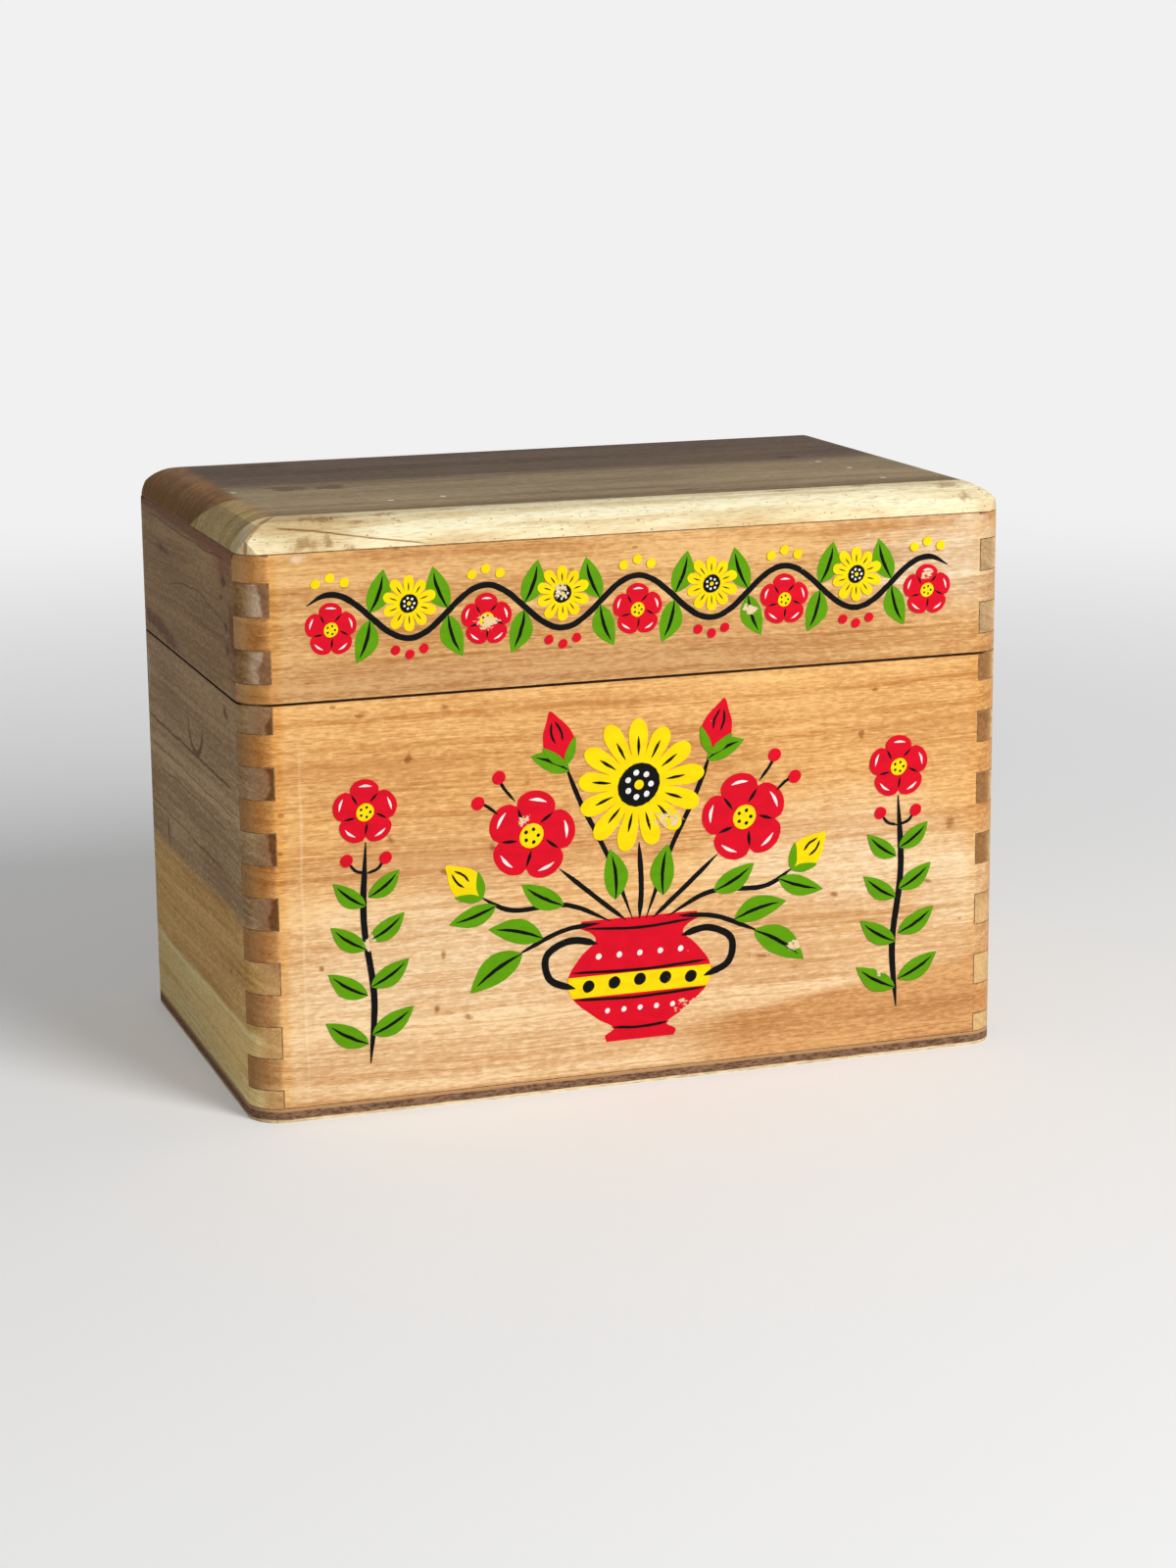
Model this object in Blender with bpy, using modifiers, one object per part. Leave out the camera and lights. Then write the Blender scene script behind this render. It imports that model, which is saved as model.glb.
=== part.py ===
"""Wooden recipe card box with a hinged lid.

Metres, +Z up. The origin is on the surface that the box stands on, under the middle of
the wooden case. The front faces -Y, and the hinges are on the back, at +Y.

The case was glued up as one closed box, rounded, and then sawn into a body and a lid.
So its finger joints run on from body to lid, with one saw cut missing between them.
"""

import math

import bmesh
import bpy
from mathutils import Matrix, Vector

# The wooden case
BOX_WIDTH = 0.1460
BOX_DEPTH = 0.0895
BODY_HEIGHT = 0.07625
LID_FRAME_HEIGHT = 0.0262
WALL = 0.0052
TOP_THICKNESS = 0.0054
BOTTOM_THICKNESS = 0.0025
CORNER_RADIUS = 0.0061
TOP_ROUND_RADIUS = 0.0081

# Gaps between glued boards, and between the closed lid and the body
GLUE_GAP = 0.0002
LID_GAP = 0.0003

# Finger joints
FINGER_HEIGHT = 0.00592
BOTTOM_FINGER_HEIGHT = 0.0036
LEAST_FINGER_HEIGHT = 0.0012
SAW_KERF = 0.00325

# Hinges
HINGE_INSET = 0.0215
HINGE_LENGTH = 0.0190
LEAF_HEIGHT = 0.0085
LEAF_THICKNESS = 0.0008
LEAF_CORNER_RADIUS = 0.0012
LEAF_SEAT_GAP = 0.0002
KNUCKLES = 5
KNUCKLE_RADIUS = 0.0015
KNUCKLE_GAP = 0.0002
HINGE_PIN_RADIUS = 0.0007
HINGE_PIN_CLEARANCE = 0.00012
HINGE_PIN_OVERHANG = 0.0004
HINGE_PIN_END_ROUND = 0.0002

# Round-head nails in the hinge leaves
NAIL_SPACING = 0.0110
NAIL_SHANK_RADIUS = 0.0005
NAIL_HEAD_RADIUS = 0.0013
NAIL_HEAD_HEIGHT = 0.0005
NAIL_POINT_LENGTH = 0.0010
NAIL_CLEARANCE = 0.00015
NAIL_TIP_COVER = 0.0009

# How far a blank or a cutter runs past the faces that it meets
OVERRUN = 0.0020

# Facets, and how points and edges are told apart
CORNER_STEPS = 9
TOP_ROUND_STEPS = 10
LEAF_CORNER_STEPS = 3
NAIL_STEPS = 14
BARREL_STEPS = 24
DOME_ANGLES = (0, 30, 60, 90)
MERGE_DISTANCE = 0.00001
SHARP_ANGLE = math.radians(35)

# Linear colours
FRONT_WOOD_COLOUR = (0.56, 0.33, 0.15)
SIDE_WOOD_COLOUR = (0.42, 0.28, 0.15)
TOP_WOOD_COLOUR = (0.62, 0.46, 0.24)
PLYWOOD_COLOUR = (0.30, 0.18, 0.10)
BRASS_COLOUR = (0.66, 0.48, 0.20)

# Heights and places that follow from these
HALF_WIDTH = BOX_WIDTH / 2
HALF_DEPTH = BOX_DEPTH / 2
BODY_BOTTOM = BOTTOM_THICKNESS + GLUE_GAP
LID_BOTTOM = BODY_HEIGHT + LID_GAP
LID_FRAME_TOP = LID_BOTTOM + LID_FRAME_HEIGHT
TOP_UNDERSIDE = LID_FRAME_TOP + GLUE_GAP
BOX_HEIGHT = TOP_UNDERSIDE + TOP_THICKNESS
NOTCH_DEPTH = WALL + GLUE_GAP
LEAF_FRONT = HALF_DEPTH + LEAF_SEAT_GAP
LEAF_BACK = LEAF_FRONT + LEAF_THICKNESS
HINGE_X = HALF_WIDTH - HINGE_INSET - HINGE_LENGTH / 2
HINGE_AXIS_Y = LEAF_FRONT + KNUCKLE_RADIUS
HINGE_AXIS_Z = BODY_HEIGHT + LID_GAP / 2
NAIL_LENGTH = LEAF_THICKNESS + LEAF_SEAT_GAP + NAIL_CLEARANCE + WALL - NAIL_TIP_COVER

X_AXIS = Vector((1, 0, 0))
Y_AXIS = Vector((0, 1, 0))
Z_AXIS = Vector((0, 0, 1))
NO_SIDE = Vector()


def clear_scene():
    for old in list(bpy.data.objects):
        bpy.data.objects.remove(old, do_unlink=True)


def new_collection(name, hidden):
    made = bpy.data.collections.new(name)
    made.hide_render = hidden
    bpy.context.scene.collection.children.link(made)
    return made


def new_material(name, colour, roughness, metallic):
    made = bpy.data.materials.new(name)
    made.use_nodes = True
    shader = made.node_tree.nodes["Principled BSDF"]
    shader.inputs["Base Color"].default_value = (*colour, 1)
    shader.inputs["Roughness"].default_value = roughness
    shader.inputs["Metallic"].default_value = metallic
    return made


def add_box(bm, low, high):
    low, high = Vector(low), Vector(high)
    stretch = Matrix.Diagonal((*(high - low), 1))
    bmesh.ops.create_cube(bm, size=1, matrix=Matrix.Translation((low + high) / 2) @ stretch)


def add_rod(bm, start, end, radius, steps):
    turn = (end - start).to_track_quat("Z", "Y").to_matrix().to_4x4()
    bmesh.ops.create_cone(
        bm,
        cap_ends=True,
        segments=steps,
        radius1=radius,
        radius2=radius,
        depth=(end - start).length,
        matrix=Matrix.Translation((start + end) / 2) @ turn,
    )


def round_edges(bm, along, side, radius, steps):
    """Rounds the edges of a box that run along one axis, on the side that a vector points to.

    With no side, all four are rounded.
    """
    middle = sum((vert.co for vert in bm.verts), Vector()) / len(bm.verts)
    chosen = []
    for edge in bm.edges:
        first, second = (vert.co for vert in edge.verts)
        runs_along = abs((second - first).normalized().dot(along)) > 0.5
        on_side = ((first + second) / 2 - middle).dot(side) >= 0
        if runs_along and on_side:
            chosen.append(edge)
    bmesh.ops.bevel(
        bm, geom=chosen, offset=radius, segments=steps, profile=0.5, affect="EDGES"
    )


def object_from(bm, name, collection, place, material=None):
    """An object of the mesh in bm, which is written about that object's own place."""
    mesh = bpy.data.meshes.new(name)
    bm.to_mesh(mesh)
    bm.free()
    made = bpy.data.objects.new(name, mesh)
    made.location = place
    collection.objects.link(made)
    if material is not None:
        mesh.materials.append(material)
    return made


def cutter_from(bm, name):
    made = object_from(bm, name, cutters, Vector())
    made.hide_render = True
    made.display_type = "WIRE"
    return made


def box_cutter(name, corners):
    """One cutter of several boxes that stand clear of each other."""
    bm = bmesh.new()
    for low, high in corners:
        add_box(bm, low, high)
    return cutter_from(bm, name)


def rod_cutter(name, rods, steps):
    """One cutter of several rods, each given by its two ends and its radius."""
    bm = bmesh.new()
    for start, end, radius in rods:
        add_rod(bm, start, end, radius, steps)
    return cutter_from(bm, name)


def board_blank(name, low, high, material):
    """A rough board between two corners, with its origin at its middle."""
    low, high = Vector(low), Vector(high)
    middle = (low + high) / 2
    bm = bmesh.new()
    add_box(bm, low - middle, high - middle)
    return object_from(bm, name, recipe_card_box, middle, material)


def combine(target, other, operation):
    step = target.modifiers.new(f"{operation.lower()} {other.name}", "BOOLEAN")
    step.operation = operation
    step.object = other


def turned(name, profile, place, direction, steps, material):
    """A round piece. Its profile is (radius, height) down its outer side, from the top."""
    bm = bmesh.new()
    points = [bm.verts.new((radius, 0, height)) for radius, height in profile]
    for first, second in zip(points, points[1:]):
        bm.edges.new((first, second))
    made = object_from(bm, name, recipe_card_box, place, material)
    made.rotation_euler = direction.to_track_quat("Z", "Y").to_euler()
    screw = made.modifiers.new("turn", "SCREW")
    screw.steps = steps
    screw.render_steps = steps
    screw.use_merge_vertices = True
    screw.merge_threshold = MERGE_DISTANCE
    return made


def make_case_outline():
    """The whole case as one solid, as the rounding passes leave it.

    Each pass along a top edge runs straight off the end, so the passes meet in a crease.
    """
    past = Vector((OVERRUN, OVERRUN, OVERRUN))
    low = Vector((-HALF_WIDTH, -HALF_DEPTH, 0))
    high = Vector((HALF_WIDTH, HALF_DEPTH, BOX_HEIGHT))

    bm = bmesh.new()
    add_box(bm, low, high + past * Z_AXIS)
    round_edges(bm, Z_AXIS, NO_SIDE, CORNER_RADIUS, CORNER_STEPS)
    outline = cutter_from(bm, "case_outline")

    passes = (("front_and_back_passes", X_AXIS), ("left_and_right_passes", Y_AXIS))
    for name, along in passes:
        bm = bmesh.new()
        add_box(bm, low - past * along - past * Z_AXIS, high + past * along)
        round_edges(bm, along, Z_AXIS, TOP_ROUND_RADIUS, TOP_ROUND_STEPS)
        combine(outline, cutter_from(bm, name), "INTERSECT")
    return outline


def finger_spans(low, high, shift):
    """(bottom, top, is it a side board's) for each finger between two heights.

    shift is how much lower these heights are now than before the case was sawn.
    """
    first = BOTTOM_THICKNESS + BOTTOM_FINGER_HEIGHT - shift
    count = math.ceil((high - first) / FINGER_HEIGHT)
    steps = [first + FINGER_HEIGHT * number for number in range(count)]
    lowest, highest = low + LEAST_FINGER_HEIGHT, high - LEAST_FINGER_HEIGHT
    bounds = [low, *(step for step in steps if lowest < step < highest), high]
    spans = []
    for bottom, top in zip(bounds, bounds[1:]):
        number = math.floor(((bottom + top) / 2 - first) / FINGER_HEIGHT)
        spans.append((bottom, top, number % 2 == 1))
    return spans


def half_sizes(is_side_board):
    """Half of the case along a board, and half of it across."""
    return (HALF_DEPTH, HALF_WIDTH) if is_side_board else (HALF_WIDTH, HALF_DEPTH)


def point_on(is_side_board, along, across, height):
    """A point given along a board and across it. Side boards run along Y, the others along X."""
    return (across, along, height) if is_side_board else (along, across, height)


def notches(spans, is_side_board, low, high):
    """The boxes cut from both ends of two opposite boards, where the others' fingers go."""
    half_length, half_across = half_sizes(is_side_board)
    across = half_across + OVERRUN * 2
    boxes = []
    for bottom, top, of_side_board in spans:
        if of_side_board == is_side_board:
            continue
        under = bottom - (OVERRUN if bottom == low else GLUE_GAP / 2)
        over = top + (OVERRUN if top == high else GLUE_GAP / 2)
        for end in (-1, 1):
            ends = (end * (half_length - NOTCH_DEPTH), end * (half_length + OVERRUN))
            low_corner = point_on(is_side_board, min(ends), -across, under)
            high_corner = point_on(is_side_board, max(ends), across, over)
            boxes.append((low_corner, high_corner))
    return boxes


def make_frame(prefix, low, high, shift, outline):
    """The four finger-jointed boards of the body or of the lid."""
    spans = finger_spans(low, high, shift)
    sides = (("front", False, -1), ("back", False, 1), ("left", True, -1), ("right", True, 1))
    cuts = {
        is_side_board: box_cutter(f"{prefix}_{kind}_notches", notches(spans, is_side_board, low, high))
        for kind, is_side_board in (("long_board", False), ("side_board", True))
    }
    boards = {}
    for name, is_side_board, side in sides:
        half_length, half_across = half_sizes(is_side_board)
        along = half_length + OVERRUN / 2
        faces = (side * (half_across - WALL), side * (half_across + OVERRUN))
        low_corner = point_on(is_side_board, -along, min(faces), low)
        high_corner = point_on(is_side_board, along, max(faces), high)
        wood = side_wood if is_side_board else front_wood
        board = board_blank(f"{prefix}_{name}_board", low_corner, high_corner, wood)
        combine(board, cuts[is_side_board], "DIFFERENCE")
        combine(board, outline, "INTERSECT")
        boards[name] = board
    return boards


def make_panel(name, low, high, material, outline):
    """A board or a sheet of plywood that covers the whole case, between two heights."""
    across, deep = HALF_WIDTH + OVERRUN, HALF_DEPTH + OVERRUN
    panel = board_blank(name, (-across, -deep, low), (across, deep, high), material)
    combine(panel, outline, "INTERSECT")
    return panel


def nail_places(hinge_x, side):
    """The undersides of the heads of one leaf's two nails. Side is -1 for the lower leaf."""
    height = HINGE_AXIS_Z + side * (KNUCKLE_RADIUS + LEAF_HEIGHT) / 2
    seat = LEAF_BACK + NAIL_CLEARANCE
    return [Vector((hinge_x + end * NAIL_SPACING / 2, seat, height)) for end in (-1, 1)]


def make_nail(name, place):
    turns = [math.radians(angle) for angle in DOME_ANGLES]
    dome = [(NAIL_HEAD_RADIUS * math.sin(turn), NAIL_HEAD_HEIGHT * math.cos(turn)) for turn in turns]
    shank = [
        (NAIL_SHANK_RADIUS, 0),
        (NAIL_SHANK_RADIUS, NAIL_POINT_LENGTH - NAIL_LENGTH),
        (0, -NAIL_LENGTH),
    ]
    return turned(name, dome + shank, place, Y_AXIS, NAIL_STEPS, brass)


def nail_holes(name, places):
    """The holes of some nails, from behind the heads' seats to just past the points."""
    behind = Y_AXIS * NAIL_CLEARANCE
    past_point = Y_AXIS * (NAIL_LENGTH + NAIL_CLEARANCE)
    radius = NAIL_SHANK_RADIUS + NAIL_CLEARANCE
    return rod_cutter(name, [(p + behind, p - past_point, radius) for p in places], NAIL_STEPS)


def other_knuckles(hinge_x, side):
    """The boxes cut from a leaf's barrel, where the other leaf's knuckles turn."""
    length = HINGE_LENGTH / KNUCKLES
    start = hinge_x - HINGE_LENGTH / 2
    reach = KNUCKLE_RADIUS + KNUCKLE_GAP
    boxes = []
    for number in range(KNUCKLES):
        is_lower_leafs = number % 2 == 0
        if is_lower_leafs == (side < 0):
            continue
        low_x = start + length * number - (OVERRUN if number == 0 else KNUCKLE_GAP / 2)
        high_x = start + length * (number + 1)
        high_x += OVERRUN if number == KNUCKLES - 1 else KNUCKLE_GAP / 2
        low = (low_x, HINGE_AXIS_Y - reach, HINGE_AXIS_Z - reach)
        high = (high_x, HINGE_AXIS_Y + reach, HINGE_AXIS_Z + reach)
        boxes.append((low, high))
    return boxes


def make_leaf(name, hinge_x, side):
    """One leaf: a plate against the back board, and its knuckles round the pin."""
    axis = Vector((hinge_x, HINGE_AXIS_Y, HINGE_AXIS_Z))
    half = X_AXIS * HINGE_LENGTH / 2
    past = half + X_AXIS * OVERRUN
    z_low, z_high = sorted((0, side * LEAF_HEIGHT))
    y_low = LEAF_FRONT - HINGE_AXIS_Y
    bm = bmesh.new()
    add_box(bm, (-half.x, y_low, z_low), (half.x, y_low + LEAF_THICKNESS, z_high))
    round_edges(bm, Y_AXIS, Z_AXIS * side, LEAF_CORNER_RADIUS, LEAF_CORNER_STEPS)
    leaf = object_from(bm, name, recipe_card_box, axis, brass)

    barrel = [(axis - half, axis + half, KNUCKLE_RADIUS)]
    bore = [(axis - past, axis + past, HINGE_PIN_RADIUS + HINGE_PIN_CLEARANCE)]
    combine(leaf, rod_cutter(f"{name}_barrel", barrel, BARREL_STEPS), "UNION")
    combine(leaf, rod_cutter(f"{name}_bore", bore, BARREL_STEPS), "DIFFERENCE")
    cut_away = other_knuckles(hinge_x, side)
    combine(leaf, box_cutter(f"{name}_other_knuckles", cut_away), "DIFFERENCE")
    return leaf


def make_hinge_pin(name, hinge_x):
    end = HINGE_LENGTH / 2 + HINGE_PIN_OVERHANG
    flat_radius = HINGE_PIN_RADIUS - HINGE_PIN_END_ROUND
    side_end = end - HINGE_PIN_END_ROUND
    upper = [(0, end), (flat_radius, end), (HINGE_PIN_RADIUS, side_end)]
    lower = [(radius, -height) for radius, height in reversed(upper)]
    axis = Vector((hinge_x, HINGE_AXIS_Y, HINGE_AXIS_Z))
    return turned(name, upper + lower, axis, X_AXIS, NAIL_STEPS, brass)


def make_hinges(body_back_board, lid_back_board):
    """Both hinges, with their pins and nails. It returns the pieces that swing with the lid."""
    swinging = []
    leaves = (("lower", -1, body_back_board), ("upper", 1, lid_back_board))
    for hand, hinge_x in (("left", -HINGE_X), ("right", HINGE_X)):
        make_hinge_pin(f"{hand}_hinge_pin", hinge_x)
        for level, side, board in leaves:
            places = nail_places(hinge_x, side)
            leaf = make_leaf(f"{hand}_hinge_{level}_leaf", hinge_x, side)
            holes = nail_holes(f"{hand}_{level}_nail_holes", places)
            combine(leaf, holes, "DIFFERENCE")
            combine(board, holes, "DIFFERENCE")
            nails = [
                make_nail(f"{hand}_{level}_leaf_nail_{number}", place)
                for number, place in enumerate(places, start=1)
            ]
            if side > 0:
                swinging += [leaf, *nails]
    return swinging


def settle_meshes():
    """Gives each piece the mesh that its modifiers make, smooth except at its real edges."""
    graph = bpy.context.evaluated_depsgraph_get()
    pieces = list(recipe_card_box.objects)
    meshes = [bpy.data.meshes.new_from_object(piece.evaluated_get(graph)) for piece in pieces]
    for piece, mesh in zip(pieces, meshes):
        piece.modifiers.clear()
        piece.data = mesh
        mesh.name = piece.name
        mesh.shade_smooth()
        mesh.set_sharp_from_angle(angle=SHARP_ANGLE)


def hang_on_axis(pieces):
    """Parents the pieces to an empty on the axis of both hinges, about which they swing."""
    axis = bpy.data.objects.new("lid_axis", None)
    axis.location = (0, HINGE_AXIS_Y, HINGE_AXIS_Z)
    recipe_card_box.objects.link(axis)
    for piece in pieces:
        piece.parent = axis
        piece.matrix_parent_inverse = Matrix.Translation(-axis.location)


clear_scene()
recipe_card_box = new_collection("recipe_card_box", False)
cutters = new_collection("cutters", True)
front_wood = new_material("front_wood", FRONT_WOOD_COLOUR, 0.45, 0)
side_wood = new_material("side_wood", SIDE_WOOD_COLOUR, 0.50, 0)
top_wood = new_material("top_wood", TOP_WOOD_COLOUR, 0.45, 0)
plywood = new_material("plywood", PLYWOOD_COLOUR, 0.60, 0)
brass = new_material("brass", BRASS_COLOUR, 0.35, 1)

case_outline = make_case_outline()
body = make_frame("body", BODY_BOTTOM, BODY_HEIGHT, 0, case_outline)
lid = make_frame("lid", LID_BOTTOM, LID_FRAME_TOP, SAW_KERF - LID_GAP, case_outline)
make_panel("bottom_panel", -OVERRUN, BOTTOM_THICKNESS, plywood, case_outline)
top_board = make_panel(
    "lid_top_board", TOP_UNDERSIDE, BOX_HEIGHT + OVERRUN / 2, top_wood, case_outline
)
lid_hardware = make_hinges(body["back"], lid["back"])
settle_meshes()
hang_on_axis([*lid.values(), top_board, *lid_hardware])
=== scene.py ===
"""The looks of a wooden recipe card box with a painted front.

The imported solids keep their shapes. This script gives them their finishes, softens their
edges, fills the glue lines, paints the front and sets up the light and the camera.
Objects are in metres. Materials and the painted design count in millimetres.
"""

import functools
import math

import bmesh
import bpy
from mathutils import Matrix, Vector
from mathutils import noise as solid_noise


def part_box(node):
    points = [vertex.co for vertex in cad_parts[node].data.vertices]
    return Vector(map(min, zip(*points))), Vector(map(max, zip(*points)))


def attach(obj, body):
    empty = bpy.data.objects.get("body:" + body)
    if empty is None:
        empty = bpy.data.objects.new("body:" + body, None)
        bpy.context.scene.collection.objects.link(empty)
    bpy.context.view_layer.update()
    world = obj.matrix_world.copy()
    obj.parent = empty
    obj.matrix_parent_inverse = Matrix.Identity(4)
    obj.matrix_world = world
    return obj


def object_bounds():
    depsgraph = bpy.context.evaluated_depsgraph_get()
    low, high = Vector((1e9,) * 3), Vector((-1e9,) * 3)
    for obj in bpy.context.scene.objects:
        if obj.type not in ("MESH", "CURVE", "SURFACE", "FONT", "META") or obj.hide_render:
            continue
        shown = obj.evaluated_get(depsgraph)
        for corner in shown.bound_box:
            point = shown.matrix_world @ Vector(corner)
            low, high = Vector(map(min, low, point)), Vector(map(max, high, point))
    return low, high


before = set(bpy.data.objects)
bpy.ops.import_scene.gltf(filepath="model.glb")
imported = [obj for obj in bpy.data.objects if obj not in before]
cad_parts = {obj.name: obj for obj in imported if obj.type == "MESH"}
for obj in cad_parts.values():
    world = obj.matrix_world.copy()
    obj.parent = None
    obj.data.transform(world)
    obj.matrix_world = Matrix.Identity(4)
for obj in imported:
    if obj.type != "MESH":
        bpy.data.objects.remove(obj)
cad_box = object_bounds()
scene = bpy.context.scene
# Without this, mathutils draws its noise by the clock
solid_noise.seed_set(7)

MM = 0.001
X_AXIS, Y_AXIS, Z_AXIS = range(3)

# The camera, as it stood for the photograph
CAMERA_PLACE = Vector((-0.1976, -0.6008, 0.1909))
CAMERA_TURN = math.radians(-18.67)
CAMERA_HEIGHT = math.radians(12.79)
CAMERA_ROLL = math.radians(-0.57)
CAMERA_SENSOR = 36
CAMERA_LENS = 76.35

# Light: each level is how bright it makes a white surface that faces it
KEY_LEVEL = 0.86
KEY_TURN = math.radians(25)
KEY_HEIGHT = math.radians(30)
KEY_DISTANCE = 1.3
KEY_SIZE = 0.6
SKY_LEVEL = 0.25
BACKGROUND = 0.88
FLOOR_LIFT = 0.18
FLOOR_COLOUR = (0.80, 0.80, 0.80)
FLOOR_SIZE = 6
FLOOR_FADE_START = 0.16
FLOOR_FADE_END = 0.75
WHITE = (1, 1, 1)


def corners(board):
    """A board's lowest and highest corners, in mm."""
    return [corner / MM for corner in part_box(board)]


# Planes of the box, in mm
body_low, body_high = corners("body_front_board")
side_low, side_high = corners("body_left_board")
lid_low, lid_high = corners("lid_front_board")
top_low, top_high = corners("lid_top_board")
ply_high = corners("bottom_panel")[1]
HALF_WIDTH = -side_low.x
HALF_DEPTH = -body_low.y
FRONT = body_low.y
INNER_X = -side_high.x
INNER_Y = -body_high.y
SEAM = (body_high.z + lid_low.z) / 2
CORNER_RADIUS = 6.1
CORNER_STEPS = 8
BOARD_EDGE = 0.04
BRASS_EDGE = 0.08
SHARP_ANGLE = math.radians(32)
FLAT_ANGLE = math.radians(1)
WELD_REACH = 0.002
# The glue lies so deep in the joints, and two levels nearer than this bound one line of it
GLUE_DEPTH = 0.04
WIDEST_GLUE = 0.5
GLUE_WELD = 0.001


class Field:
    """A number, place or colour that varies over a surface. Its methods add shader nodes."""

    def __init__(self, nodes, socket):
        self.nodes = nodes
        self.socket = socket

    def math(self, operation, other=0):
        return self.nodes.field("Math", {0: self, 1: other}, operation=operation)

    def __add__(self, other):
        return self.math("ADD", other)

    def __sub__(self, other):
        return self.math("SUBTRACT", other)

    def __mul__(self, other):
        return self.math("MULTIPLY", other)

    def __abs__(self):
        return self.math("ABSOLUTE")

    def larger(self, other):
        return self.math("MAXIMUM", other)

    def swing(self, amount):
        """This noise, moved from about a half to about nought, times an amount."""
        return (self - 0.5) * amount

    def rise(self, low, high):
        """0 at low, 1 at high and eased between. It falls where high is less than low."""
        inputs = {"Value": self, "From Min": low, "From Max": high}
        return self.nodes.field("MapRange", inputs, interpolation_type="SMOOTHSTEP")

    def line(self, half_width):
        """1 where this number is near nought, and 0 past a half width."""
        return abs(self).rise(half_width, half_width * 0.3)

    def part(self, axis):
        return self.nodes.field("SeparateXYZ", {0: self}, axis)

    def length(self):
        return self.nodes.field("VectorMath", {0: self}, "Value", operation="LENGTH")

    def scaled(self, scales, shift=(0, 0, 0)):
        """Each component of this place times its scale, plus its shift."""
        return self.nodes.field("Mapping", {"Vector": self, "Scale": scales, "Location": shift})

    def mixed(self, colour, share, blend_type="MIX"):
        """This colour, giving way to another one by a share."""
        inputs = {"Fac": share, "Color1": self, "Color2": colour}
        return self.nodes.field("MixRGB", inputs, blend_type=blend_type)

    def tinted(self, colour, share):
        """This colour, multiplied by another one by a share."""
        return self.mixed(colour, share, "MULTIPLY")


def largest(fields):
    """The largest of some fields at each point."""
    return functools.reduce(Field.larger, fields)


def set_all(thing, settings):
    for name, value in settings.items():
        setattr(thing, name, value)


class Nodes:
    """A node tree in the making."""

    def __init__(self, tree):
        self.tree = tree

    def plug(self, node, inputs):
        """Links the fields to a node's inputs, and sets the plain values on them."""
        for name, value in inputs.items():
            socket = node.inputs[name]
            if isinstance(value, Field):
                self.tree.links.new(value.socket, socket)
            elif socket.type == "RGBA":
                socket.default_value = (*value, 1)
            else:
                socket.default_value = value

    def node(self, kind, inputs, **settings):
        made = self.tree.nodes.new(f"ShaderNode{kind}")
        set_all(made, settings)
        self.plug(made, inputs)
        return made

    def field(self, kind, inputs, output=0, **settings):
        return Field(self, self.node(kind, inputs, **settings).outputs[output])

    def seen_directly(self):
        """1 for rays from the camera, off gloss or through glass, and 0 for light on the object."""
        rays = self.node("LightPath", {}).outputs
        kinds = ("Is Camera Ray", "Is Glossy Ray", "Is Transmission Ray")
        return largest(Field(self, rays[kind]) for kind in kinds)


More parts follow.
